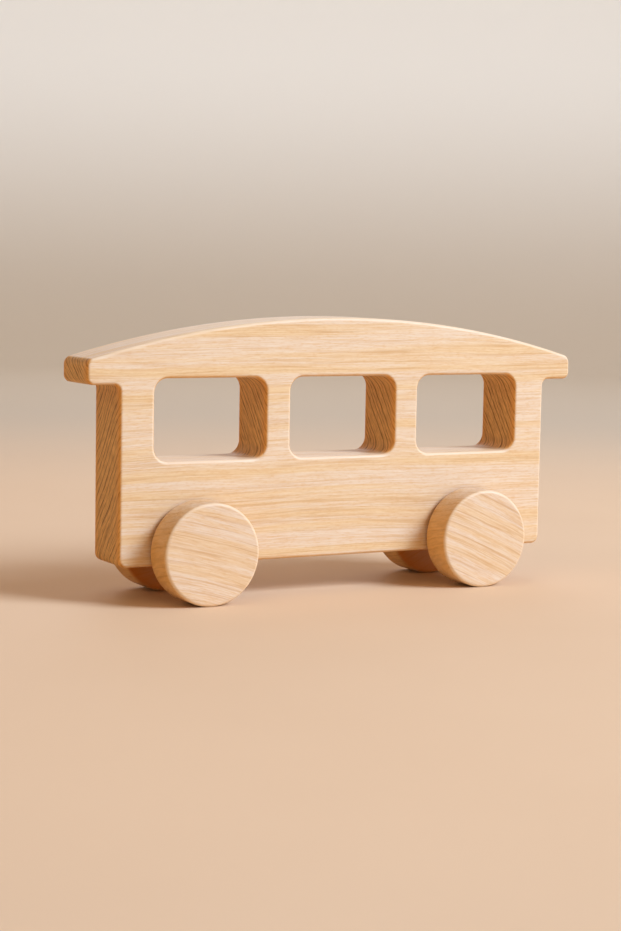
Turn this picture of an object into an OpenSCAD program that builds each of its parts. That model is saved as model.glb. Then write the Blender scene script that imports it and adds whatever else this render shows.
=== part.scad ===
// Wooden push-along carriage: one arched board with three window openings, carried by two
// dowel axles that turn in the board, each with a plain disc wheel glued on either end.
// Axes: +X to the front of the carriage, +Y to its left, +Z up. The origin lies on the floor,
// under the middle of the board.

/* [Board] */
// Length of the wall under the roof
body_length = 175; // [158:1:240]
// Thickness of the board
board_t = 22; // [12:1:40]
// Height of the wall, from its lower edge to the roof's underside
wall_h = 63; // [58:1:80]
// Radius of the wall's two lower corners
corner_r = 3; // [2.5:0.5:10]
// Radius of the rounding along every edge of the board
edge_r = 1.25; // [0.5:0.25:2.25]

/* [Roof] */
// Length of the roof past the wall, at each end
eave_length = 12.1; // [7:0.1:24]
// Height of the roof's upright ends, up to where they round over into the arch
eave_h = 6.2; // [3.6:0.2:12]
// Radius where the arch runs into the upright ends
roof_top_r = 3; // [2.5:0.5:5]
// Radius of the lower corners of the ends
roof_low_r = 2.5; // [2.25:0.25:3.5]
// Radius of the hollow between wall and roof
eave_r = 2.5; // [1.5:0.25:6]

/* [Windows] */
// Number of windows
window_count = 3; // [1:1:3]
// Width of one window
window_w = 43; // [24:0.5:47]
// Height of one window
window_h = 28.8; // [16:0.2:32]
// Height of the sills above the wall's lower edge
sill_h = 36.2; // [26:0.2:40]
// Width of the posts between the windows
post_w = 10; // [6:0.5:16]
// Radius of the windows' corners
window_r = 5; // [2:0.5:12]

/* [Wheels] */
// Diameter of the wheels
wheel_d = 36; // [24:0.5:50]
// Thickness of the wheels
wheel_t = 13; // [8:0.5:16]
// Distance of the front axle from the wall's front end
front_inset = 34; // [20:0.5:50]
// Distance of the rear axle from the wall's rear end
rear_inset = 29; // [20:0.5:50]
// Radius of the rounding on the wheels' rims
rim_r = 1.2; // [0.4:0.1:2.5]
// Free space between a wheel and the board
wheel_gap = 1; // [0.5:0.1:3]

/* [Axles] */
// Diameter of the dowels
axle_d = 4; // [3:0.25:4.25]
// Height of the dowels' centres above the wall's lower edge
axle_up = 5; // [4.25:0.25:9]
// Radial play of a dowel in the board
axle_play = 0.06; // [0.02:0.01:0.1]
// Depth of the blind hole in a wheel
seat_depth = 7.5; // [4:0.5:8]
// Room for glue at the bottom of the blind hole
glue_gap = 0.5; // [0.2:0.1:1]
// Chamfer on the dowels' ends
axle_chamfer = 0.4; // [0.2:0.1:1]

/* [Hidden] */
$fn = 32;
ARCH_FN = 360;
BORE_FN = 64;
WHEEL_FN = 96;
// Room that a cutter runs past the face or edge that it cuts
CUT_OVER = 1;
// The arch leans this way where it runs into an end: a 7-24-25 triangle
EAVE_WAY = [0.28, 0.96];
half_body = body_length / 2;
half_roof = half_body + eave_length;
half_t = board_t / 2;
front_x = half_body - front_inset;
rear_x = rear_inset - half_body;
axle_z = wheel_d / 2;
wall_low = axle_z - axle_up;
roof_low = wall_low + wall_h;
// The arch's radius and centre follow from its ends and from the lean there
top_corner_x = half_roof - roof_top_r;
top_corner_z = roof_low + eave_h;
arch_r = top_corner_x / EAVE_WAY.x + roof_top_r;
arch_z = top_corner_z - (arch_r - roof_top_r) * EAVE_WAY.y;
roof_h = arch_z + arch_r - roof_low;
window_pitch = window_w + post_w;
window_z = wall_low + sill_h + window_h / 2;
window_places = [for (i = [0:window_count - 1]) (i - (window_count - 1) / 2) * window_pitch];
wheel_in = half_t + wheel_gap;
axle_length = 2 * (wheel_in + seat_depth - glue_gap);
BOARD_COLOR = "burlywood";
WHEEL_COLOR = "tan";
AXLE_COLOR = "wheat";

// Four-sided sector with its tip at a centre, between two unit ways
module sector(centre, reach, from, to) {
    polygon([centre, centre + reach * from, centre + reach * (from + to), centre + reach * to]);
}

// What comes off a corner that is rounded about a centre, between two unit ways
module corner_waste(centre, r, from, to) {
    difference() {
        sector(centre, r + CUT_OVER, from, to);
        translate(centre) circle(r);
    }
}

// Window opening about its own centre
module window_outline() {
    x = window_w / 2;
    y = window_h / 2;
    difference() {
        square([window_w, window_h], center = true);
        for (sx = [-1, 1], sy = [-1, 1])
            corner_waste([sx * (x - window_r), sy * (y - window_r)], window_r, [sx, 0], [0, sy]);
    }
}

// Wall, roof and the hollows between them, with square corners on the outside
module raw_outline() {
    translate([-half_body, wall_low]) square([body_length, wall_h + eave_r]);
    intersection() {
        translate([0, arch_z]) circle(arch_r, $fn = ARCH_FN);
        translate([-half_roof, roof_low]) square([2 * half_roof, roof_h]);
    }
    for (s = [-1, 1]) difference() {
        translate([s * (half_body + eave_r / 2), roof_low - eave_r / 2]) square(eave_r, center = true);
        translate([s * (half_body + eave_r), roof_low - eave_r]) circle(eave_r);
    }
}

// Side view of the board
module board_outline() {
    difference() {
        raw_outline();
        for (s = [-1, 1]) {
            corner_waste([s * (half_body - corner_r), wall_low + corner_r], corner_r, [0, -1], [s, 0]);
            corner_waste([s * (half_roof - roof_low_r), roof_low + roof_low_r], roof_low_r, [0, -1], [s, 0]);
            corner_waste([s * top_corner_x, top_corner_z], roof_top_r, [s, 0], [s * EAVE_WAY.x, EAVE_WAY.y]);
        }
        for (x = window_places) translate([x, window_z]) window_outline();
    }
}

// What a rounding bit takes off an edge at the origin: the piece lies below it, and on its
// left, or on its right when side is -1
module edge_waste(side = 1) {
    difference() {
        translate([side > 0 ? -edge_r : -CUT_OVER, -edge_r]) square(edge_r + CUT_OVER);
        translate([-side * edge_r, -edge_r]) circle(edge_r);
    }
}

// Rounding along a straight edge, with the piece on the left of the way from start to end
module straight_cut(start, end) {
    way = end - start;
    translate([start.x, start.y, half_t]) rotate(atan2(way.y, way.x)) rotate([90, 0, 90])
        linear_extrude(norm(way)) edge_waste(side = -1);
}

// Rounding along an arc about a centre, between two unit ways: side is 1 where the piece lies
// inside the arc and -1 where it lies outside
module arc_cut(centre, r, from, to, side = 1, fn = $fn) {
    intersection() {
        translate([centre.x, centre.y, half_t])
            rotate_extrude($fn = fn) translate([r, 0]) edge_waste(side);
        translate([0, 0, half_t - edge_r - CUT_OVER])
            linear_extrude(edge_r + 3 * CUT_OVER) sector(centre, r + edge_r + 2 * CUT_OVER, from, to);
    }
}

// Rounding of one window's edge on the upper face of the flat board
module window_cuts() {
    x = window_w / 2;
    y = window_h / 2;
    for (turn = [0, 180]) rotate(turn) {
        straight_cut([-x + window_r, y], [x - window_r, y]);
        straight_cut([x, y - window_r], [x, -y + window_r]);
        arc_cut([x - window_r, y - window_r], window_r, [1, 0], [0, 1], side = -1);
        arc_cut([x - window_r, -y + window_r], window_r, [1, 0], [0, -1], side = -1);
    }
}

// Rounding of the board's outer edge and windows on the upper face of the flat board
module face_cuts() {
    straight_cut([-half_body + corner_r, wall_low], [half_body - corner_r, wall_low]);
    arc_cut([0, arch_z], arch_r, EAVE_WAY, [-EAVE_WAY.x, EAVE_WAY.y], fn = ARCH_FN);
    for (m = [0, 1]) mirror([m, 0, 0]) {
        arc_cut([half_body - corner_r, wall_low + corner_r], corner_r, [0, -1], [1, 0]);
        straight_cut([half_body, wall_low + corner_r], [half_body, roof_low - eave_r]);
        arc_cut([half_body + eave_r, roof_low - eave_r], eave_r, [-1, 0], [0, 1], side = -1);
        straight_cut([half_body + eave_r, roof_low], [half_roof - roof_low_r, roof_low]);
        arc_cut([half_roof - roof_low_r, roof_low + roof_low_r], roof_low_r, [0, -1], [1, 0]);
        straight_cut([half_roof, roof_low + roof_low_r], [half_roof, top_corner_z]);
        arc_cut([top_corner_x, top_corner_z], roof_top_r, [1, 0], EAVE_WAY);
    }
    for (x = window_places) translate([x, window_z, 0]) window_cuts();
}

// The arched board, made flat and then set on edge, with its two axle holes
module body() {
    color(BOARD_COLOR) difference() {
        rotate([90, 0, 0]) difference() {
            linear_extrude(board_t, center = true) board_outline();
            for (m = [0, 1]) mirror([0, 0, m]) face_cuts();
        }
        for (x = [rear_x, front_x]) translate([x, 0, axle_z]) rotate([90, 0, 0])
            cylinder(h = board_t + 2 * CUT_OVER, r = axle_d / 2 + axle_play, center = true, $fn = BORE_FN);
    }
}

// Dowel along Y, at a place along the board
module axle(x) {
    r = axle_d / 2;
    h = axle_length / 2;
    color(AXLE_COLOR) translate([x, 0, axle_z]) rotate([90, 0, 0])
        rotate_extrude($fn = BORE_FN) polygon([
            [0, -h],
            [r - axle_chamfer, -h],
            [r, -h + axle_chamfer],
            [r, h - axle_chamfer],
            [r - axle_chamfer, h],
            [0, h]
        ]);
}

// Disc wheel at a place along the board, with rounded rims and a blind hole on its inner side:
// side is 1 on the left and -1 on the right
module wheel(x, side) {
    r = wheel_d / 2;
    color(WHEEL_COLOR) translate([x, side * wheel_in, axle_z]) rotate([-90 * side, 0, 0])
        difference() {
            rotate_extrude($fn = WHEEL_FN) difference() {
                square([r, wheel_t]);
                corner_waste([r - rim_r, rim_r], rim_r, [1, 0], [0, -1]);
                corner_waste([r - rim_r, wheel_t - rim_r], rim_r, [1, 0], [0, 1]);
            }
            translate([0, 0, -CUT_OVER])
                cylinder(h = seat_depth + CUT_OVER, d = axle_d, $fn = BORE_FN);
        }
}

body();
axle(front_x);  // front_axle
axle(rear_x);  // rear_axle
wheel(front_x, 1);  // front_left_wheel
wheel(front_x, -1);  // front_right_wheel
wheel(rear_x, 1);  // rear_left_wheel
wheel(rear_x, -1);  // rear_right_wheel
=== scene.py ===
"""Looks of a wooden push-along carriage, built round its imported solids.

The board, its dowels and its wheels are swept and turned surfaces in metres, in the frame of the
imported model: +X to the carriage's front, +Y to its left and +Z up, with the floor at z = 0.
"""

import logging
import math
from dataclasses import dataclass
from enum import Enum
from typing import Any

import bpy
import numpy as np
from mathutils import Matrix, Vector, geometry


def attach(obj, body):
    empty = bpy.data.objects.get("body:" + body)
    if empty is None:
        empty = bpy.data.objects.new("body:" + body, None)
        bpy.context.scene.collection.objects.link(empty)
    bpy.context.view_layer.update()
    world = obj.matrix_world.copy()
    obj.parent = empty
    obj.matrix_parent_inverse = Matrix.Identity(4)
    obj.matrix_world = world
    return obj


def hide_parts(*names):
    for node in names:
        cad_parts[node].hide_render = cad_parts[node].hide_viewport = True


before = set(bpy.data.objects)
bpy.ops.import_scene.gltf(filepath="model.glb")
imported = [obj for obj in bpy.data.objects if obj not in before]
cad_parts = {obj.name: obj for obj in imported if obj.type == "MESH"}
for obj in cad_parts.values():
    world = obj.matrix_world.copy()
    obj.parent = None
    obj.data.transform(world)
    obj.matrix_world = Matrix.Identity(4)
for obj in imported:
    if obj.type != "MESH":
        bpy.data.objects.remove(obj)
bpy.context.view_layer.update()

log = logging.getLogger("carriage")

Array = np.ndarray
Colour = tuple[float, float, float]
Place = tuple[float, float, float]
Point = tuple[float, float]

MM = 0.001
# The picture's size in pixels, and the width of the camera's sensor in millimetres
PHOTO_WIDTH = 621
PHOTO_HEIGHT = 931
SENSOR = 36.0
# Points of an outline that lie closer than this are one point
SAME_POINT = 0.001 * MM


class End(Enum):
    """Ends of the carriage, by their way along X."""

    FRONT = 1
    REAR = -1


class Side(Enum):
    """Sides of the carriage, by their way along Y."""

    LEFT = 1
    RIGHT = -1


class Mark(Enum):
    """What a piece's mesh tells its finish about each point."""

    # Real end grain, with painted shade on some roundings and on the wheels' treads
    END_GRAIN_AND_SHADE = "end_grain_and_shade"
    LEAN = "lean"
    # Painted highlight on rounded edges
    EDGE = "edge"
    # Painted shade on the wheels' inner faces
    INNER = "inner"


AXLE_X = {End.FRONT: 53.5 * MM, End.REAR: -58.5 * MM}
# How far the year lines on each wheel's face are turned, in degrees
WHEEL_SLANTS = {
    End.FRONT: {Side.RIGHT: -25.0, Side.LEFT: 22.0},
    End.REAR: {Side.RIGHT: -15.0, Side.LEFT: 8.0},
}


class Signal:
    """A shader value that takes part in arithmetic: each operation adds a Math node."""

    def __init__(self, bench: "Bench", socket: bpy.types.NodeSocket) -> None:
        """Wraps one output socket of a bench's node."""
        self.bench = bench
        self.socket = socket

    def math(self, operation: str, *values: Any, clamp: bool = False) -> "Signal":
        """Adds a Math node.

        Args:
            operation: the node's operation.
            values: its inputs, in order.
            clamp: whether the result is held between 0 and 1.

        Returns:
            The node's result.
        """
        settings = {"operation": operation, "use_clamp": clamp}
        return self.bench.node("ShaderNodeMath", settings, dict(enumerate(values)))

    def __add__(self, other: Any) -> "Signal":
        """Sum."""
        return self.math("ADD", self, other)

    def __radd__(self, other: Any) -> "Signal":
        """Sum, reflected."""
        return self.math("ADD", other, self)

    def __sub__(self, other: Any) -> "Signal":
        """Difference."""
        return self.math("SUBTRACT", self, other)

    def __rsub__(self, other: Any) -> "Signal":
        """Difference, reflected."""
        return self.math("SUBTRACT", other, self)

    def __mul__(self, other: Any) -> "Signal":
        """Product."""
        return self.math("MULTIPLY", self, other)

    def __rmul__(self, other: Any) -> "Signal":
        """Product, reflected."""
        return self.math("MULTIPLY", other, self)

    def __truediv__(self, other: Any) -> "Signal":
        """Quotient."""
        return self.math("DIVIDE", self, other)

    def __rtruediv__(self, other: Any) -> "Signal":
        """Quotient, reflected."""
        return self.math("DIVIDE", other, self)

    def __pow__(self, other: Any) -> "Signal":
        """Power."""
        return self.math("POWER", self, other)

    def __rpow__(self, other: Any) -> "Signal":
        """Power, reflected."""
        return self.math("POWER", other, self)

    def size(self) -> "Signal":
        """The value without its sign."""
        return self.math("ABSOLUTE", self)

    def fraction(self) -> "Signal":
        """What is left after whole turns are taken away."""
        return self.math("FRACT", self)

    def rise(self, low: float, high: float) -> "Signal":
        """Smooth step.

        Args:
            low: the value up to which the step is 0.
            high: the value from which it is 1.

        Returns:
            The step.
        """
        settings = {"interpolation_type": "SMOOTHSTEP", "clamp": True}
        sockets = {"Value": self, "From Min": low, "From Max": high}
        return self.bench.node("ShaderNodeMapRange", settings, sockets)

    def spread(self, gain: float) -> "Signal":
        """Contrast about one half, held between 0 and 1."""
        return self.math("MULTIPLY_ADD", self, gain, 0.5 - 0.5 * gain, clamp=True)

    def crest(self, gain: float) -> "Signal":
        """Thin line: 1 where the value passes one half, falling to 0 on both sides of it."""
        return self.math("MULTIPLY_ADD", (self - 0.5).size(), -gain, 1.0, clamp=True)


class Bench:
    """A material's node tree and the few ways in which nodes are put on it."""

    def __init__(self, name: str) -> None:
        """Makes an empty material with its shader and output.

        Args:
            name: the material's name.
        """
        self.material = bpy.data.materials.new(name)
        self.material.use_nodes = True
        self.tree = self.material.node_tree
        self.tree.nodes.clear()
        self.shader = self.tree.nodes.new("ShaderNodeBsdfPrincipled")
        output = self.tree.nodes.new("ShaderNodeOutputMaterial")
        self.tree.links.new(self.shader.outputs["BSDF"], output.inputs["Surface"])

    def node(
        self, kind: str, settings: dict[str, Any], sockets: dict[Any, Any], out: Any = 0
    ) -> Signal:
        """Adds one node.

        Args:
            kind: the node's type.
            settings: its properties, which are set first.
            sockets: values or signals for its inputs, by name or number.
            out: the output that is wanted, by name or number.

        Returns:
            That output.
        """
        made = self.tree.nodes.new(kind)
        for key, value in settings.items():
            setattr(made, key, value)
        for key, value in sockets.items():
            self.feed(made.inputs[key], value)
        return Signal(self, made.outputs[out])

    def feed(self, socket: bpy.types.NodeSocket, value: Any) -> None:
        """Links a signal to a socket, or sets the socket's own value.

        Args:
            socket: an input.
            value: a signal, a number, a colour or a vector.
        """
        if isinstance(value, Signal):
            self.tree.links.new(value.socket, socket)
        elif socket.type == "RGBA":
            socket.default_value = (*value, 1.0)
        else:
            socket.default_value = value

    def surface(self, values: dict[str, Any]) -> bpy.types.Material:
        """Feeds the shader.

        Args:
            values: values or signals for the shader's inputs, by name.

        Returns:
            The material.
        """
        for name, value in values.items():
            self.feed(self.shader.inputs[name], value)
        return self.material

    def place(self) -> tuple[Signal, Signal, Signal]:
        """Reads where a point lies on its piece.

        Returns:
            Its places along X, Y and Z, in millimetres.
        """
        own = self.node("ShaderNodeTexCoord", {}, {}, "Object")
        sockets = {0: own, 1: (1 / MM,) * 3}
        scaled = self.node("ShaderNodeVectorMath", {"operation": "MULTIPLY"}, sockets)
        outputs = self.node("ShaderNodeSeparateXYZ", {}, {0: scaled}).socket.node.outputs
        return Signal(self, outputs["X"]), Signal(self, outputs["Y"]), Signal(self, outputs["Z"])

    def mark(self, mark: Mark) -> Signal:
        """What the piece's mesh holds under a mark."""
        return self.node("ShaderNodeAttribute", {"attribute_name": mark.value}, {}, "Fac")

    def mix(self, base: Any, other: Any, share: Any) -> Signal:
        """Colour that goes from base to other as share goes from 0 to 1."""
        # In its colour form the node's inputs are 0, 6 and 7, and its output is 2
        settings = {"data_type": "RGBA", "blend_type": "MIX", "clamp_factor": True}
        return self.node("ShaderNodeMix", settings, {0: share, 6: base, 7: other}, 2)

    def bump(self, height: Signal, depth: float) -> Signal:
        """Normal of a surface that is raised by up to depth metres where height is 1."""
        sockets = {"Strength": 1.0, "Distance": depth, "Height": height}
        return self.node("ShaderNodeBump", {}, sockets)

    def growth_line(self, turns: Signal, onset: float, winter: float = 0.93) -> Signal:
        """Darkening through each year's growth, from onset to winter, where it stops short."""
        year = turns.fraction()
        return year.rise(onset, winter) * (1 - year.rise(winter, 1.0))


@dataclass(frozen=True)
class Clouds:
    """Smooth noise, by the widths of its clouds along three ways, in millimetres."""

    widths: Place
    detail: float = 1.0
    roughness: float = 0.5

    def draw(self, bench: Bench, *places: Any) -> Signal:
        """Works the noise out at a point.

        Args:
            bench: the material.
            places: the point's places along the three ways, in millimetres.

        Returns:
            The noise, about one half.
        """
        ways = {k: place / width for k, (place, width) in enumerate(zip(places, self.widths))}
        sockets = {
            "Vector": bench.node("ShaderNodeCombineXYZ", {}, ways),
            "Scale": 1.0,
            "Detail": self.detail,
            "Roughness": self.roughness,
        }
        return bench.node("ShaderNodeTexNoise", {"noise_dimensions": "3D"}, sockets)


@dataclass(frozen=True)
class Wax:
    """Thin wiped-on wax: a weak soft coat over the wood."""

    specular: float = 0.22
    coat: float = 0.06
    coat_rough: float = 0.24

    def values(self) -> dict[str, float]:
        """The shader's inputs that the wax sets, by name."""
        coat = {"Coat Weight": self.coat, "Coat Roughness": self.coat_rough}
        return {"Specular IOR Level": self.specular, **coat}


@dataclass(frozen=True)
class LongGrain:
    """Streaks of a plank seen along its grain.

    Soft bands go from pale to amber. Threads, short fibres and pores draw them towards the warm
    tone, each by its share, and thin cores are darker still.
    """

    pale: Colour
    amber: Colour
    warm: Colour
    dark: Colour
    band: Clouds
    thread: Clouds
    core: Clouds
    core_fade: Clouds = Clouds((34.0, 6.0, 3.0))
    fibre: Clouds = Clouds((6.5, 1.2, 0.34))
    pore: Clouds = Clouds((1.9, 0.8, 0.42), detail=0.0)
    band_range: Point = (0.40, 0.64)
    thread_range: Point = (0.40, 0.68)
    core_range: Point = (0.36, 0.60)
    pore_range: Point = (0.52, 0.74)
    core_gain: float = 19.0
    fibre_gain: float = 4.0
    thread_share: float = 0.33
    fibre_share: float = 0.31
    band_share: float = 0.10
    pore_share: float = 0.20
    base_tone: float = -0.03
    core_share: float = 0.28
    core_in_band: float = 0.27
    fibre_height: float = 0.5
    core_height: float = 0.6

    def lay(
        self, bench: Bench, along: Signal, through: Signal, height: Signal
    ) -> tuple[Signal, Signal]:
        """Draws noise out along the grain, at several widths.

        Args:
            bench: the material.
            along: place along the grain, in millimetres.
            through: place through the plank.
            height: place across the grain, bent by the tree's growth.

        Returns:
            The colour, and the relief from 0 to 1.
        """
        spot = (bench, along, through, height)
        band = self.band.draw(*spot).rise(*self.band_range)
        thread = self.thread.draw(*spot).rise(*self.thread_range)
        fibre = self.fibre.draw(*spot)
        core = self.core.draw(*spot).crest(self.core_gain)
        core = core * self.core_fade.draw(*spot).rise(*self.core_range)
        pore = self.pore.draw(*spot).rise(*self.pore_range)
        tone = thread * self.thread_share + fibre.spread(self.fibre_gain) * self.fibre_share
        tone = tone + band * self.band_share + pore * self.pore_share + self.base_tone
        colour = bench.mix(bench.mix(self.pale, self.amber, band), self.warm, tone)
        colour = bench.mix(colour, self.dark, core * (self.core_share + band * self.core_in_band))
        return colour, fibre * self.fibre_height + core * self.core_height


@dataclass(frozen=True)
class BoardWood:
    """Pale smooth plank with its grain along X, and darker end grain where it is cut across."""

    grain: LongGrain = LongGrain(
        pale=(0.795, 0.626, 0.434),
        amber=(0.805, 0.585, 0.322),
        warm=(0.690, 0.406, 0.169),
        dark=(0.56, 0.287, 0.092),
        band=Clouds((150.0, 9.0, 3.6), detail=3.0),
        thread=Clouds((150.0 / 4.4, 3.0, 0.62), detail=3.0, roughness=0.6),
        core=Clouds((150.0 / 1.4, 6.0, 1.6), detail=2.0),
    )
    sway: Clouds = Clouds((120.0, 60.0, 45.0))
    sway_reach: float = 8.0
    ripple: Clouds = Clouds((45.0, 14.0, 9.0), detail=2.0)
    layer_lean: float = 1.43
    depth_share: float = 0.2
    end_pale: Colour = (0.83, 0.47, 0.155)
    end_dark: Colour = (0.195, 0.074, 0.013)
    bow: Clouds = Clouds((60.0, 22.0, 30.0))
    bow_reach: float = 5.0
    year_gap: float = 2.6
    year_onset: float = 0.58
    drift: Clouds = Clouds((6.0, 1.0, 1.0))
    drift_spot: Point = (0.3, 0.7)
    drift_turns: float = 2.6
    year_fade: Clouds = Clouds((30.0, 1.6, 16.0))
    fade_range: Point = (0.2, 0.55)
    end_pore: Clouds = Clouds((3.0, 0.42, 4.0), detail=2.0)
    pore_gain: float = 3.4
    year_share: float = 0.62
    pore_share: float = 0.46
    end_tone: float = 0.01
    half_t: float = 11.0
    # Painted glow: an orange band on the end grain near both faces
    painted_glow: Colour = (0.81, 0.35, 0.071)
    painted_glow_depth: Point = (0.8, 4.5)
    painted_glow_share: float = 0.5
    cut_range: Point = (0.05, 0.5)
    # Painted highlight: the pale colour of the roundings that face the front and up
    worn: Colour = (0.88, 0.685, 0.448)
    highlight_share: float = 0.6
    rough: float = 0.45
    relief_rough: float = 0.08
    end_rough: float = 0.12
    relief_depth: float = 0.03 * MM
    wax: Wax = Wax()

    def material(self) -> bpy.types.Material:
        """Wavering long grain on the faces, and slanted year lines on the ends.

        The ends carry a painted glow near the faces, and the roundings that face the front and up
        carry a painted highlight.

        Returns:
            The material.
        """
        bench = Bench("board_wood")
        x, y, z = bench.place()
        sway = self.sway.draw(bench, x, y, z) - 0.5
        ripple = self.ripple.draw(bench, x, y, z) - 0.5
        height = z + y * self.layer_lean + sway * self.sway_reach + ripple
        face, relief = self.grain.lay(bench, x, y * self.depth_share, height)

        lean = bench.mark(Mark.LEAN)
        bow = (self.bow.draw(bench, x, y, z) - 0.5) * self.bow_reach
        across, along = y + z * lean + bow, z - y * lean
        drift = self.drift.draw(bench, across, *self.drift_spot) * self.drift_turns
        years = bench.growth_line(across / self.year_gap + drift, self.year_onset)
        years = years * self.year_fade.draw(bench, x, across, along).rise(*self.fade_range)
        pores = self.end_pore.draw(bench, x, across, along).spread(self.pore_gain)
        tone = years * self.year_share + pores * self.pore_share + self.end_tone
        end = bench.mix(self.end_pale, self.end_dark, tone)
        # Painted glow: the end grain turns orange near both faces
        depth = self.half_t - y.size()
        end = bench.mix(end, self.painted_glow, (1 - depth.rise(*self.painted_glow_depth)) * self.painted_glow_share)

        # The end-grain mark also holds painted shade on roundings that face down or to the rear
        cut = bench.mark(Mark.END_GRAIN_AND_SHADE).rise(*self.cut_range)
        # Painted highlight on the roundings that face the front and up
        worn = bench.mark(Mark.EDGE) * (1 - cut) * self.highlight_share
        return bench.surface({
            "Base Color": bench.mix(bench.mix(face, end, cut), self.worn, worn),
            "Roughness": self.rough + relief * self.relief_rough + cut * self.end_rough,
            "Normal": bench.bump(relief + years * cut, self.relief_depth),
            **self.wax.values(),
        })


@dataclass(frozen=True)
class WheelWood:
    """Plank wood of a wheel, with its year lines slanted by a turn about the axle.

    shift moves the pattern, so that no two wheels look the same.
    """

    name: str
    slant: float
    axle: Point
    shift: float
    grain: LongGrain = LongGrain(
        pale=(0.785, 0.612, 0.425),
        amber=(0.795, 0.584, 0.348),
        warm=(0.690, 0.412, 0.181),
        dark=(0.56, 0.285, 0.094),
        band=Clouds((70.0, 9.0, 3.0), detail=3.0),
        thread=Clouds((70.0 / 4.4, 3.0, 0.62), detail=3.0, roughness=0.6),
        core=Clouds((70.0 / 1.4, 6.0, 1.6), detail=2.0),
    )
    grain_shift: float = 5.0
    ripple: Clouds = Clouds((18.0, 10.0, 8.0), detail=2.0)
    ripple_shift: float = 8.0
    ripple_reach: float = 1.1
    year_curve: float = 0.0022
    layer_lean: float = 0.22
    year_gap: float = 3.2
    year_onset: float = 0.76
    drift: Clouds = Clouds((9.0, 1.0, 1.0), detail=0.0)
    drift_spot: float = 0.2
    drift_turns: float = 2.0
    year_fade: Clouds = Clouds((16.0, 9.0, 4.0))
    fade_range: Point = (0.25, 0.65)
    line: Colour = (0.52, 0.254, 0.081)
    line_share: float = 0.46
    # Painted shade: the dark colour of the inner face, towards the board
    inner: Colour = (0.61, 0.188, 0.005)
    inner_shade_share: float = 0.92
    end: Colour = (0.79, 0.425, 0.12)
    end_dark: Colour = (0.37, 0.139, 0.016)
    end_share: float = 0.88
    end_pore: Clouds = Clouds((5.0, 6.0, 0.8), detail=2.0)
    pore_gain: float = 3.0
    pore_share: float = 0.36
    year_share: float = 0.28
    end_tone: float = -0.06
    # Painted highlight: the pale colour of the rims
    worn: Colour = (0.93, 0.712, 0.448)
    highlight_share: float = 0.45
    rough: float = 0.48
    line_rough: float = 0.10
    grain_height: float = 0.7
    line_height: float = 0.5
    relief_depth: float = 0.03 * MM
    wax: Wax = Wax()

    def material(self) -> bpy.types.Material:
        """Year lines straight through the disc, darker tread where cut across them, painted shade
        and highlight.

        Returns:
            The material.
        """
        bench = Bench(self.name)
        x, y, z = bench.place()
        turn = math.radians(self.slant)
        east, up = x - self.axle[0] / MM, z - self.axle[1] / MM
        along = east * math.cos(turn) + up * math.sin(turn)
        across = up * math.cos(turn) - east * math.sin(turn) + self.shift
        ripple = self.ripple.draw(bench, along, y, across + self.shift * self.ripple_shift) - 0.5
        height = across + along * along * self.year_curve
        height = height + ripple * self.ripple_reach + y * self.layer_lean
        face, relief = self.grain.lay(bench, along + self.shift * self.grain_shift, y, height)

        drift = self.drift.draw(bench, height, self.drift_spot, self.shift) * self.drift_turns
        lines = bench.growth_line(height / self.year_gap + drift, self.year_onset)
        lines = lines * self.year_fade.draw(bench, along, y, height).rise(*self.fade_range)
        face = bench.mix(face, self.line, lines * self.line_share)
        # Painted shade on the inner face
        face = bench.mix(face, self.inner, bench.mark(Mark.INNER) * self.inner_shade_share)
        pores = self.end_pore.draw(bench, along, y, height).spread(self.pore_gain)
        tone = lines * self.year_share + pores * self.pore_share + self.end_tone
        end = bench.mix(self.end, self.end_dark, tone)

        # The end-grain mark also holds painted shade on the tread
        colour = bench.mix(face, end, bench.mark(Mark.END_GRAIN_AND_SHADE) * self.end_share)
        relief = relief * self.grain_height + lines * self.line_height
        return bench.surface({
            # Painted highlight on the rims
            "Base Color": bench.mix(colour, self.worn, bench.mark(Mark.EDGE) * self.highlight_share),
            "Roughness": self.rough + lines * self.line_rough,
            "Normal": bench.bump(relief, self.relief_depth),
            **self.wax.values(),
        })


@dataclass(frozen=True)
class DowelWood:
    """Plain beech dowel, with its grain along Y and short darker flecks."""

    pale: Colour = (0.70, 0.49, 0.31)
    dark: Colour = (0.56, 0.35, 0.19)
    streak: Clouds = Clouds((0.7, 14.0, 0.7), detail=3.0)
    streak_gain: float = 2.4
    streak_share: float = 0.7
    fleck: Clouds = Clouds((0.3, 2.5, 0.3), detail=0.0)
    fleck_range: Point = (0.6, 0.75)
    fleck_share: float = 0.3
    rough: float = 0.52
    streak_rough: float = 0.1
    relief_depth: float = 0.02 * MM

    def material(self) -> bpy.types.Material:
        """Fine streaks along the dowel.

        Returns:
            The material.
        """
        bench = Bench("dowel_wood")
        place = bench.place()
        streak = self.streak.draw(bench, *place)
        fleck = self.fleck.draw(bench, *place).rise(*self.fleck_range)
        tone = streak.spread(self.streak_gain) * self.streak_share + fleck * self.fleck_share
        return bench.surface({
            "Base Color": bench.mix(self.pale, self.dark, tone),
            "Roughness": self.rough + streak * self.streak_rough,
            "Normal": bench.bump(streak, self.relief_depth),
        })


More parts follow.
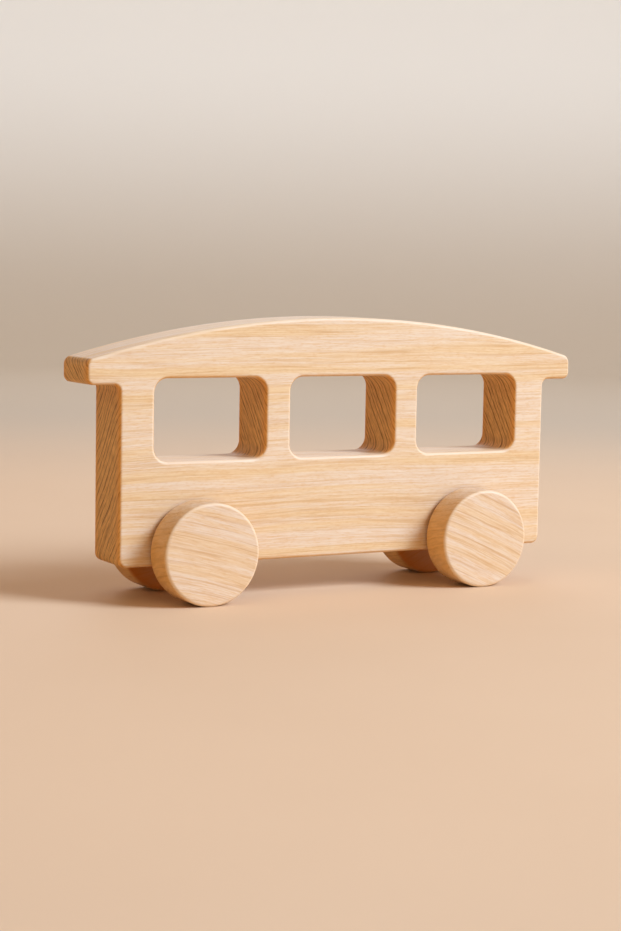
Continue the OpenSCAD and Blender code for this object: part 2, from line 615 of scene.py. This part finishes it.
@dataclass(frozen=True)
class StudioPaint:
    """Plain matt paint of the studio: a warm floor with a faint mottle, and a wall.

    The floor turns greyer away from its middle. The wall is pale behind the carriage, as a
    backdrop, and browner round the rest of the room. The reaches are in millimetres.
    """

    pale: Colour = (0.78, 0.540, 0.322)
    dark: Colour = (0.75, 0.512, 0.302)
    mottle: Clouds = Clouds((90.0, 90.0, 90.0), detail=2.0)
    far: Colour = (0.55, 0.436, 0.301)
    far_reach: Point = (250.0, 900.0)
    room: Colour = (0.546, 0.401, 0.246)
    backdrop: Colour = (0.86, 0.792, 0.651)
    backdrop_reach: Point = (600.0, 1500.0)
    wall_reach: Point = (0.0, 420.0)
    rough: float = 0.7
    specular: float = 0.2

    def material(self) -> bpy.types.Material:
        """A matt tone that wanders a little over a hand's breadth.

        Returns:
            The material.
        """
        bench = Bench("floor_paint")
        x, y, z = bench.place()
        floor = bench.mix(self.pale, self.dark, self.mottle.draw(bench, x, y, z))
        away = (x * x + y * y) ** 0.5
        floor = bench.mix(floor, self.far, away.rise(*self.far_reach))
        wall = bench.mix(self.room, self.backdrop, y.rise(*self.backdrop_reach))
        return bench.surface({
            "Base Color": bench.mix(floor, wall, z.rise(*self.wall_reach)),
            "Roughness": self.rough,
            "Specular IOR Level": self.specular,
        })


class Skin:
    """Closed surface of one piece, gathered patch by patch, with a normal at every face corner."""

    def __init__(self) -> None:
        """Starts with no points and no faces."""
        self.points: list[Array] = []
        self.marks: dict[Mark, list[Array]] = {mark: [] for mark in Mark}
        self.faces: list[Array] = []
        self.normals: list[Array] = []
        self.count = 0

    def place(self, points: Array, marks: dict[Mark, Any]) -> Array:
        """Adds a grid of points.

        Args:
            points: their places, with X, Y and Z last.
            marks: what each point tells the finish, as a grid or one value for all; 0 if left out.

        Returns:
            The points' numbers, in the shape of the grid.
        """
        shape = points.shape[:-1]
        numbers = np.arange(self.count, self.count + math.prod(shape)).reshape(shape)
        self.count += numbers.size
        self.points.append(points.reshape(-1, 3))
        for mark in Mark:
            self.marks[mark].append(np.broadcast_to(marks.get(mark, 0.0), shape).ravel())
        return numbers

    def cover(self, corners: Array, normals: Array) -> None:
        """Adds faces by their corners' numbers, with a normal for each corner."""
        self.faces.append(corners)
        self.normals.append(np.broadcast_to(normals, (*corners.shape, 3)).reshape(-1, 3))

    def band(self, rows: Array, starts: Array, ends: Array) -> None:
        """Covers a grid that closes on itself round its first way.

        Args:
            rows: the points' numbers, round and then across.
            starts: the normal where each step across begins.
            ends: the normal where each step across ends.
        """
        ahead = np.roll(rows, -1, axis=0)
        corners = np.stack([rows[:, :-1], rows[:, 1:], ahead[:, 1:], ahead[:, :-1]], axis=-1)
        normals = [starts, ends, np.roll(ends, -1, axis=0), np.roll(starts, -1, axis=0)]
        self.cover(corners.reshape(-1, 4), np.stack(normals, axis=-2).reshape(-1, 4, 3))

    def fan(self, pole: Array, ring: Array, normal: Array, flip: bool) -> None:
        """Covers the disc between one point and a ring round it.

        Args:
            pole: the point's number.
            ring: the ring's numbers, in order.
            normal: the normal of the whole disc.
            flip: whether the faces are turned over.
        """
        first, second = ring, np.roll(ring, -1)
        if flip:
            first, second = second, first
        corners = np.stack([np.broadcast_to(pole, ring.shape), first, second], axis=-1)
        self.cover(corners, normal)

    def fill(self, loops: list[Array], normal: Array) -> None:
        """Covers the flat region inside the first loop of points and outside the others.

        Args:
            loops: the numbers of each loop's points, in order.
            normal: the way that the region faces.
        """
        places = np.concatenate(self.points)
        flat = [places[loop].tolist() for loop in loops]
        corners = np.concatenate(loops)[np.array(geometry.tessellate_polygon(flat))]
        a, b, c = (places[corners[:, k]] for k in range(3))
        wrong = np.cross(b - a, c - a) @ normal < 0
        corners[wrong] = corners[wrong][:, ::-1]
        self.cover(corners, normal)

    def piece(self, name: str, finish: bpy.types.Material) -> bpy.types.Object:
        """Makes the object at the origin, with its place in its mesh.

        Args:
            name: the piece's name.
            finish: its material.

        Returns:
            The object.
        """
        mesh = bpy.data.meshes.new(name)
        faces = [face for block in self.faces for face in block.tolist()]
        mesh.from_pydata(np.concatenate(self.points).tolist(), [], faces, shade_flat=False)
        for mark, parts in self.marks.items():
            layer = mesh.attributes.new(mark.value, "FLOAT", "POINT")
            layer.data.foreach_set("value", np.concatenate(parts).astype(np.float32))
        mesh.normals_split_custom_set(np.concatenate(self.normals))
        mesh.materials.append(finish)
        made = bpy.data.objects.new(name, mesh)
        bpy.context.scene.collection.objects.link(made)
        log.info("%s: %d points, %d faces", name, self.count, len(faces))
        return made


def upright(flat: Array, along: Array) -> Array:
    """Sets pairs of X and Z upright, with a place along Y between them.

    Args:
        flat: a grid of pairs.
        along: the places along Y, which fit the grid.

    Returns:
        The grid of X, Y and Z.
    """
    return np.stack(np.broadcast_arrays(flat[..., 0], along, flat[..., 1]), axis=-1)


@dataclass(frozen=True)
class Bend:
    """Arc of an outline in the X-Z plane.

    Straight stretches run from each arc's end to the next one's start. The angles are in degrees.
    In a hollow arc the wood lies outside the circle. lean is how far the year lines on the cut end
    beside this arc lean over, as a slope.
    """

    centre: Point
    radius: float
    start: float
    end: float
    hollow: bool = False
    lean: float = 0.0
    steps: int = 14

    def trace(self) -> tuple[Array, Array, Array]:
        """Points centre + radius * (cos a, sin a), with a going evenly from start to end.

        Returns:
            The points, the normals out of the wood, which are (cos a, sin a) or its opposite in a
            hollow, and the lean, each with one row a point.
        """
        angle = np.radians(np.linspace(self.start, self.end, self.steps + 1))
        ray = np.stack([np.cos(angle), np.sin(angle)], axis=-1)
        out = -ray if self.hollow else ray
        return np.array(self.centre) + self.radius * ray, out, np.full(len(angle), self.lean)


def outline(bends: list[Bend]) -> tuple[Array, Array, Array]:
    """Joins arcs into a closed line, with a point that two arcs share kept once.

    Args:
        bends: the arcs, with the wood on the left of the way along them.

    Returns:
        Points, normals out of the wood and leans, one row a point.
    """
    traces = zip(*[bend.trace() for bend in bends])
    points, out, lean = (np.concatenate(parts) for parts in traces)
    kept = np.linalg.norm(points - np.roll(points, -1, axis=0), axis=1) > SAME_POINT
    return points[kept], out[kept], lean[kept]


@dataclass
class Board:
    """The arched board: wall, roof and windows in one plank, with every edge rounded over.

    The fades are powers: how fast the mark of end grain goes as the outline turns away from an
    end, and as a rounding turns towards a face, on sides that look to the front or to the rear. The
    slower fade on rear-facing sides, and a share on down-facing roundings, paint shade in the dark
    end colour.
    """

    wood: BoardWood = BoardWood()
    length: float = 175 * MM
    thickness: float = 22 * MM
    wall_low: float = 13 * MM
    roof_low: float = 76 * MM
    corner_r: float = 3 * MM
    edge_r: float = 1.25 * MM
    eave_length: float = 12.1 * MM
    eave_h: float = 6.2 * MM
    eave_r: float = 2.5 * MM
    roof_low_r: float = 2.5 * MM
    roof_top_r: float = 3 * MM
    arch_lean: Point = (0.28, 0.96)
    window_w: float = 43 * MM
    window_h: float = 28.8 * MM
    window_low: float = 49.2 * MM
    window_r: float = 5 * MM
    post_w: float = 10 * MM
    window_count: int = 3
    bore_r: float = 2.06 * MM
    axle_z: float = 18 * MM
    arch_steps: int = 160
    edge_steps: int = 8
    bore_steps: int = 48
    wall_grain: float = 0.70
    roof_grain: float = -1.15
    jamb_grain: float = -0.75
    end_fade: float = 1.4
    lit_front_fade: float = 4.0
    # Painted shade: rear-facing roundings keep more of the dark end colour
    shaded_rear_fade: float = 2.0
    # Painted shade: share of the dark end colour on down-facing roundings
    down_shade_share: float = 0.3

    def outer_bends(self) -> list[Bend]:
        """The board's outline, from its lower front corner over the arch to its lower rear corner.

        Returns:
            The arcs, in order.
        """
        half = self.length / 2
        tip = half + self.eave_length
        top_x, top_z = tip - self.roof_top_r, self.roof_low + self.eave_h
        reach = top_x / self.arch_lean[0]
        arch_z = top_z - reach * self.arch_lean[1]
        rest = math.degrees(math.atan2(self.arch_lean[1], self.arch_lean[0]))
        low_z, eave_z = self.wall_low + self.corner_r, self.roof_low - self.eave_r
        corner_x, eave_x = half - self.corner_r, half + self.eave_r
        low_x, roof_z = tip - self.roof_low_r, self.roof_low + self.roof_low_r
        arch_r = reach + self.roof_top_r
        wall, roof = self.wall_grain, self.roof_grain
        return [
            Bend((corner_x, low_z), self.corner_r, -90, 0, lean=wall),
            Bend((eave_x, eave_z), self.eave_r, 180, 90, hollow=True, lean=wall),
            Bend((low_x, roof_z), self.roof_low_r, -90, 0, lean=roof),
            Bend((top_x, top_z), self.roof_top_r, 0, rest, lean=roof),
            Bend((0.0, arch_z), arch_r, rest, 180 - rest, lean=roof, steps=self.arch_steps),
            Bend((-top_x, top_z), self.roof_top_r, 180 - rest, 180, lean=roof),
            Bend((-low_x, roof_z), self.roof_low_r, 180, 270, lean=roof),
            Bend((-eave_x, eave_z), self.eave_r, 90, 0, hollow=True, lean=wall),
            Bend((-corner_x, low_z), self.corner_r, 180, 270, lean=wall),
        ]

    def window_bends(self, x: float) -> list[Bend]:
        """One window's outline, the other way round, so that the wood is on its left.

        Args:
            x: the place of the window's middle along the board.

        Returns:
            The arcs, in order.
        """
        reach = self.window_w / 2 - self.window_r
        low = self.window_low + self.window_r
        high = self.window_low + self.window_h - self.window_r
        corners = [
            ((x + reach, high), 90, 0),
            ((x + reach, low), 0, -90),
            ((x - reach, low), 270, 180),
            ((x - reach, high), 180, 90),
        ]
        return [
            Bend(centre, self.window_r, start, end, hollow=True, lean=self.jamb_grain)
            for centre, start, end in corners
        ]

    def rounded_section(self) -> tuple[Array, Array, Array, Array]:
        """Section of an edge from the right face to the left face: a quarter circle at each face.

        Returns:
            How far each point lies inside the outline, its place along Y, and the shares of its
            normal along the outline's normal and along Y.
        """
        turn = np.radians(np.linspace(-90, 0, self.edge_steps + 1))
        turn = np.concatenate([turn, -turn[::-1]])
        side = np.repeat([-1.0, 1.0], self.edge_steps + 1)
        inset = self.edge_r * (1 - np.cos(turn))
        along = side * (self.thickness / 2 - self.edge_r) + self.edge_r * np.sin(turn)
        return inset, along, np.cos(turn), np.sin(turn)

    def sweep(self, skin: Skin, bends: list[Bend]) -> Array:
        """Carries the rounded section along an outline: point - inset * normal, at the section's Y.

        Args:
            skin: where the surface goes.
            bends: the outline.

        Returns:
            The points' numbers, round the outline and then across the thickness.
        """
        points, out, lean = outline(bends)
        inset, along, outward, sideways = self.rounded_section()
        places = upright(points[:, None, :] - out[:, None, :] * inset[None, :, None], along)
        normals = upright(out[:, None, :] * outward[None, :, None], sideways)
        along_x, up = out[:, :1], out[:, 1:]
        rounding = (2 * outward * sideways) ** 2
        # Painted shade: rear-facing roundings keep more of the dark end colour than front-facing
        # ones
        face_fade = np.where(along_x > 0, self.lit_front_fade, self.shaded_rear_fade)
        cut = np.abs(along_x) ** self.end_fade * outward ** face_fade
        # Painted shade: down-facing roundings take part of the dark end colour
        under = self.down_shade_share * np.clip(-up, 0, 1) * rounding
        marks = {
            Mark.END_GRAIN_AND_SHADE: cut + under,
            Mark.LEAN: lean[:, None],
            # Painted highlight: only roundings that face the front and up take the pale edge colour
            Mark.EDGE: rounding * np.clip(along_x + up, 0, 1),
        }
        rows = skin.place(places, marks)
        skin.band(rows, normals[:, :-1], normals[:, 1:])
        return rows

    def bore(self, skin: Skin, x: float) -> Array:
        """Straight hole for a dowel through the board: a circle carried along Y.

        Args:
            skin: where the surface goes.
            x: the hole's place along the board.

        Returns:
            The points' numbers, round the hole and then across the thickness.
        """
        circle = Bend((x, self.axle_z), self.bore_r, 360, 0, hollow=True, steps=self.bore_steps)
        points, out, _ = outline([circle])
        faces = np.array([-1.0, 1.0]) * self.thickness / 2
        inward = upright(out[:, None, :], np.zeros(1))
        rows = skin.place(upright(points[:, None, :], faces), {})
        skin.band(rows, inward, inward)
        return rows

    def build(self) -> bpy.types.Object:
        """Sweeps outline and windows, drills the holes, closes both faces and dresses the board.

        Returns:
            The board.
        """
        skin = Skin()
        pitch = self.window_w + self.post_w
        middles = (np.arange(self.window_count) - (self.window_count - 1) / 2) * pitch
        rims = [self.sweep(skin, self.outer_bends())]
        rims += [self.sweep(skin, self.window_bends(x)) for x in middles.tolist()]
        rims += [self.bore(skin, AXLE_X[end]) for end in End]
        skin.fill([rim[:, 0] for rim in rims], np.array([0.0, -1.0, 0.0]))
        skin.fill([rim[:, -1] for rim in rims], np.array([0.0, 1.0, 0.0]))
        board = skin.piece("arched_board", self.wood.material())
        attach(board, "carriage")
        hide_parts("body")
        return board


class Section:
    """Half section of a turned piece, gathered stretch by stretch.

    A point is a radius and a place along the axle. The fades are powers: how fast the mark of end
    grain goes round the piece and over its rims, and the painted highlight on the rims towards the
    inside.
    """

    round_fade: float = 1.8
    rim_fade: float = 4.0
    inner_fade: float = 3.0

    def __init__(self, radius: float, along: float) -> None:
        """Starts the section at a point.

        Args:
            radius: the point's distance from the axis.
            along: its place along the axle.
        """
        self.points: list[Array] = [np.array([[radius, along]])]
        self.starts: list[Array] = []
        self.ends: list[Array] = []

    def line(self, radius: float, along: float) -> "Section":
        """Goes straight to a point; the normal lies square to the way, on its right.

        Args:
            radius: the point's distance from the axis.
            along: its place along the axle.

        Returns:
            The section.
        """
        way = np.array([radius, along]) - self.points[-1][-1]
        normal = np.array([[way[1], -way[0]]]) / np.linalg.norm(way)
        self.points.append(np.array([[radius, along]]))
        self.starts.append(normal)
        self.ends.append(normal)
        return self

    def arc(
        self, centre: Point, radius: float, start: float, end: float, steps: int = 8
    ) -> "Section":
        """Goes round a centre: centre + radius * (cos a, sin a), with a going from start to end.

        Args:
            centre: the centre's distance from the axis and place along the axle.
            radius: the arc's radius.
            start: the angle where the section stands, in degrees.
            end: the angle where the arc ends.
            steps: steps along the arc.

        Returns:
            The section.
        """
        angle = np.radians(np.linspace(start, end, steps + 1))
        ray = np.stack([np.cos(angle), np.sin(angle)], axis=-1)
        self.points.append(np.array(centre) + radius * ray[1:])
        self.starts.append(ray[:-1])
        self.ends.append(ray[1:])
        return self

    def turned(self, skin: Skin, axle: Point, side: Side, grain: Point, steps: int) -> None:
        """Turns the section about an axle along Y: radius * (cos a, sin a) in X and Z, once round.

        Args:
            skin: where the surface goes. The section starts and ends on the axis.
            axle: the axle's X and Z.
            side: side of the carriage that the section's places along the axle grow towards.
            grain: way in X and Z of the sides that take the end-grain mark; the wheels pass a way
                turned past their true cross grain, as painted shade.
            steps: steps once round.
        """
        gathered = (self.points, self.starts, self.ends)
        points, starts, ends = (np.concatenate(parts) for parts in gathered)
        if side is Side.RIGHT:
            mirror = np.array([1, -1])
            points = points[::-1] * mirror
            starts, ends = ends[::-1] * mirror, starts[::-1] * mirror
        angle = np.linspace(0, 2 * np.pi, steps, endpoint=False)
        ray = np.stack([np.cos(angle), np.sin(angle)], axis=-1)

        def around(pairs: Array) -> Array:
            """Radius and along pairs, turned into X, Y and Z once round."""
            return upright(ray[:, None, :] * pairs[None, :, :1], pairs[:, 1])

        centre = np.array([axle[0], 0.0, axle[1]])
        cross = np.abs(ray @ np.array(grain))[:, None] ** self.round_fade
        mean = (starts[1:] + ends[:-1]) / 2
        outward = mean[:, 0]
        sideways = np.sqrt(np.clip(1 - outward**2, 0, 1))
        inward = np.clip(-side.value * mean[:, 1], 0, 1)
        marks = {
            Mark.END_GRAIN_AND_SHADE: cross * np.clip(outward, 0, 1) ** self.rim_fade,
            # Painted highlight: a pale ring on the rims, fading towards the inside
            Mark.EDGE: (2 * outward * sideways) ** 2 * (1 - inward) ** self.inner_fade,
            # Painted shade on the faces that look inwards, towards the board
            Mark.INNER: inward,
        }
        rows = skin.place(around(points[1:-1]) + centre, marks)
        skin.band(rows, around(starts[1:-1]), around(ends[1:-1]))
        for k, normal, flip in ((0, starts[0], False), (-1, ends[-1], True)):
            pole = skin.place(centre + np.array([0.0, points[k, 1], 0.0]), {})
            skin.fan(pole, rows[:, k], np.array([0.0, normal[1], 0.0]), flip)


@dataclass
class Wheelset:
    """A dowel with a disc wheel glued on each end, at one end of the carriage.

    The tread is darkest shade_dip degrees past the way of the face's year lines; that turn away
    from the true cross grain is painted shade.
    """

    end: End
    slants: dict[Side, float]
    dowel_wood: bpy.types.Material
    wheel_r: float = 18 * MM
    wheel_t: float = 13 * MM
    rim_r: float = 1.2 * MM
    wheel_in: float = 12 * MM
    dowel_r: float = 2 * MM
    dowel_half: float = 19 * MM
    dowel_chamfer: float = 0.4 * MM
    seat_depth: float = 7.5 * MM
    # Painted shade: turn of the dark tread band past the true cross grain, in degrees
    shade_dip: float = 30.0
    end_shift: float = 7.0
    side_shift: float = 13.0
    wheel_steps: int = 128
    dowel_steps: int = 48

    @property
    def axle(self) -> Point:
        """The axle's X and Z."""
        return AXLE_X[self.end], self.wheel_r

    def dress(self, piece: bpy.types.Object, node: str) -> None:
        """Hangs a piece on this wheelset in place of its plain solid.

        Args:
            piece: the piece.
            node: the solid's name.
        """
        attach(piece, f"{self.end.name.lower()}_wheelset")
        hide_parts(node)

    def dowel(self) -> None:
        """The dowel: a rod with chamfered ends."""
        r, h, c = self.dowel_r, self.dowel_half, self.dowel_chamfer
        section = Section(0.0, -h).line(r - c, -h).line(r, c - h)
        section.line(r, h - c).line(r - c, h).line(0.0, h)
        skin = Skin()
        section.turned(skin, self.axle, Side.LEFT, (1.0, 0.0), self.dowel_steps)
        name = self.end.name.lower()
        self.dress(skin.piece(f"{name}_dowel", self.dowel_wood), f"{name}_axle")

    def wheel(self, side: Side) -> None:
        """A disc with rounded rims and a blind hole for the dowel on its inner face.

        Args:
            side: the side of the carriage that the wheel is on.
        """
        r, q, near = self.wheel_r, self.rim_r, self.wheel_in
        far, seat = near + self.wheel_t, near + self.seat_depth
        section = Section(0.0, seat).line(self.dowel_r, seat).line(self.dowel_r, near)
        section.line(r - q, near).arc((r - q, near + q), q, -90, 0)
        section.line(r, far - q).arc((r - q, far - q), q, 0, 90).line(0.0, far)
        # Painted shade: the dark tread band is turned by shade_dip past the true cross grain
        cut = math.radians(self.slants[side] + self.shade_dip)
        grain = (math.cos(cut), math.sin(cut))
        skin = Skin()
        section.turned(skin, self.axle, side, grain, self.wheel_steps)
        name = f"{self.end.name}_{side.name}_wheel".lower()
        shift = self.end_shift * self.end.value + self.side_shift * side.value
        wood = WheelWood(f"{name}_wood", self.slants[side], self.axle, shift)
        self.dress(skin.piece(f"{name}_disc", wood.material()), name)

    def build(self) -> None:
        """Makes the dowel and its two wheels."""
        self.dowel()
        for side in Side:
            self.wheel(side)


@dataclass(frozen=True)
class Lamp:
    """A square soft light that looks from one place to another, or at the carriage's middle."""

    name: str
    at: Place
    size: float
    power: float
    colour: Colour
    to: Place = (0.0, 0.0, 0.05)

    def hang(self) -> None:
        """Puts the light into the scene, out of the camera's sight."""
        light = bpy.data.lights.new(self.name, "AREA")
        light.shape = "SQUARE"
        light.size, light.energy, light.color = self.size, self.power, self.colour
        made = bpy.data.objects.new(self.name, light)
        made.location = self.at
        way = Vector(self.to) - Vector(self.at)
        made.rotation_euler = way.to_track_quat("-Z", "Y").to_euler()
        made.visible_camera = False
        bpy.context.scene.collection.objects.link(made)


@dataclass
class Studio:
    """Pale round floor that sweeps up into a wall, soft lights and the camera.

    A cool key stands at the front right and a warm fill at the left. A weak light stands behind
    the carriage, another washes the wall there, and the sky is even and warm.
    """

    paint: StudioPaint = StudioPaint()
    pole_r: float = 0.02
    floor_r: float = 1.5
    sweep_r: float = 0.7
    wall_top: float = 1.9
    steps: int = 96
    sweep_steps: int = 24
    camera_at: Place = (-0.3588, -0.6341, 0.1172)
    yaw: float = 0.5063
    pitch: float = 0.0994
    roll: float = 0.018
    focal_px: float = 1998.0
    lamps: tuple[Lamp, ...] = (
        Lamp("key_light", (1.22, -1.40, 1.40), 1.0, 48.5, (0.99, 1.25, 1.72)),
        Lamp("fill_light", (-1.1, -0.5, 1.5), 1.4, 4.5, (1.0, 0.82, 0.62)),
        Lamp("back_light", (0.5, 1.25, 0.9), 0.8, 2.1, (0.92, 1.03, 1.28)),
        Lamp("wall_wash", (0.5, 0.9, 1.5), 1.0, 5.5, (0.95, 1.06, 1.30), to=(1.0, 2.0, 0.3)),
    )
    sky: Colour = (1.06, 0.63, 0.33)
    sky_strength: float = 0.242

    def floor(self) -> None:
        """Turns a section about Z: flat to floor_r, a quarter circle of sweep_r, then upright."""
        bend = np.radians(np.linspace(-90, 0, self.sweep_steps + 1))
        sweep = self.floor_r + self.sweep_r * np.cos(bend)
        radius = np.concatenate([[self.pole_r, self.floor_r / 2], sweep, sweep[-1:]])
        rise = self.sweep_r * (1 + np.sin(bend))
        height = np.concatenate([[0.0, 0.0], rise, [self.wall_top]])
        angle = np.linspace(0, 2 * np.pi, self.steps, endpoint=False)[:, None]

        def around(out: Array, up: Array) -> Array:
            """Values out from Z and up along it, turned into X, Y and Z once round."""
            turned = (out * np.cos(angle), out * np.sin(angle), up)
            return np.stack(np.broadcast_arrays(*turned), axis=-1)

        way = np.gradient(np.stack([radius, height]), axis=1)
        normals = around(*(np.stack([-way[1], way[0]]) / np.linalg.norm(way, axis=0)))
        skin = Skin()
        rows = skin.place(around(radius, height), {})
        skin.band(rows, normals[:, :-1], normals[:, 1:])
        pole = skin.place(np.zeros(3), {})
        skin.fan(pole, rows[:, 0], np.array([0.0, 0.0, 1.0]), False)
        skin.piece("studio_floor", self.paint.material())

    def lights(self) -> None:
        """Hangs the lamps and sets the sky."""
        for lamp in self.lamps:
            lamp.hang()
        world = bpy.data.worlds.new("studio_sky")
        world.use_nodes = True
        background = world.node_tree.nodes["Background"]
        background.inputs["Color"].default_value = (*self.sky, 1.0)
        background.inputs["Strength"].default_value = self.sky_strength
        bpy.context.scene.world = world

    def camera(self) -> None:
        """Looks along yaw from +Y towards +X and pitch below level, with a slight roll."""
        level = Vector((math.sin(self.yaw), math.cos(self.yaw), 0.0))
        side = Vector((math.cos(self.yaw), -math.sin(self.yaw), 0.0))
        rise = Vector((0.0, 0.0, 1.0))
        ahead = math.cos(self.pitch) * level - math.sin(self.pitch) * rise
        up = math.sin(self.pitch) * level + math.cos(self.pitch) * rise
        right = math.cos(self.roll) * side + math.sin(self.roll) * up
        up = math.cos(self.roll) * up - math.sin(self.roll) * side
        lens = bpy.data.cameras.new("photo_camera")
        lens.sensor_width = SENSOR
        lens.lens = self.focal_px * SENSOR / max(PHOTO_WIDTH, PHOTO_HEIGHT)
        made = bpy.data.objects.new("photo_camera", lens)
        turn = Matrix((right, up, -ahead)).transposed().to_4x4()
        made.matrix_world = Matrix.Translation(self.camera_at) @ turn
        bpy.context.scene.collection.objects.link(made)
        bpy.context.scene.camera = made

    def build(self) -> None:
        """Sets up floor, lights, camera and the picture's tone."""
        self.floor()
        self.lights()
        self.camera()
        bpy.context.scene.view_settings.view_transform = "Standard"


def main() -> None:
    """Builds the studio, the board and both wheelsets."""
    logging.basicConfig(level=logging.INFO, format="%(message)s")
    Studio().build()
    Board().build()
    dowel_wood = DowelWood().material()
    for end in End:
        Wheelset(end, WHEEL_SLANTS[end], dowel_wood).build()


if __name__ == "__main__":
    main()
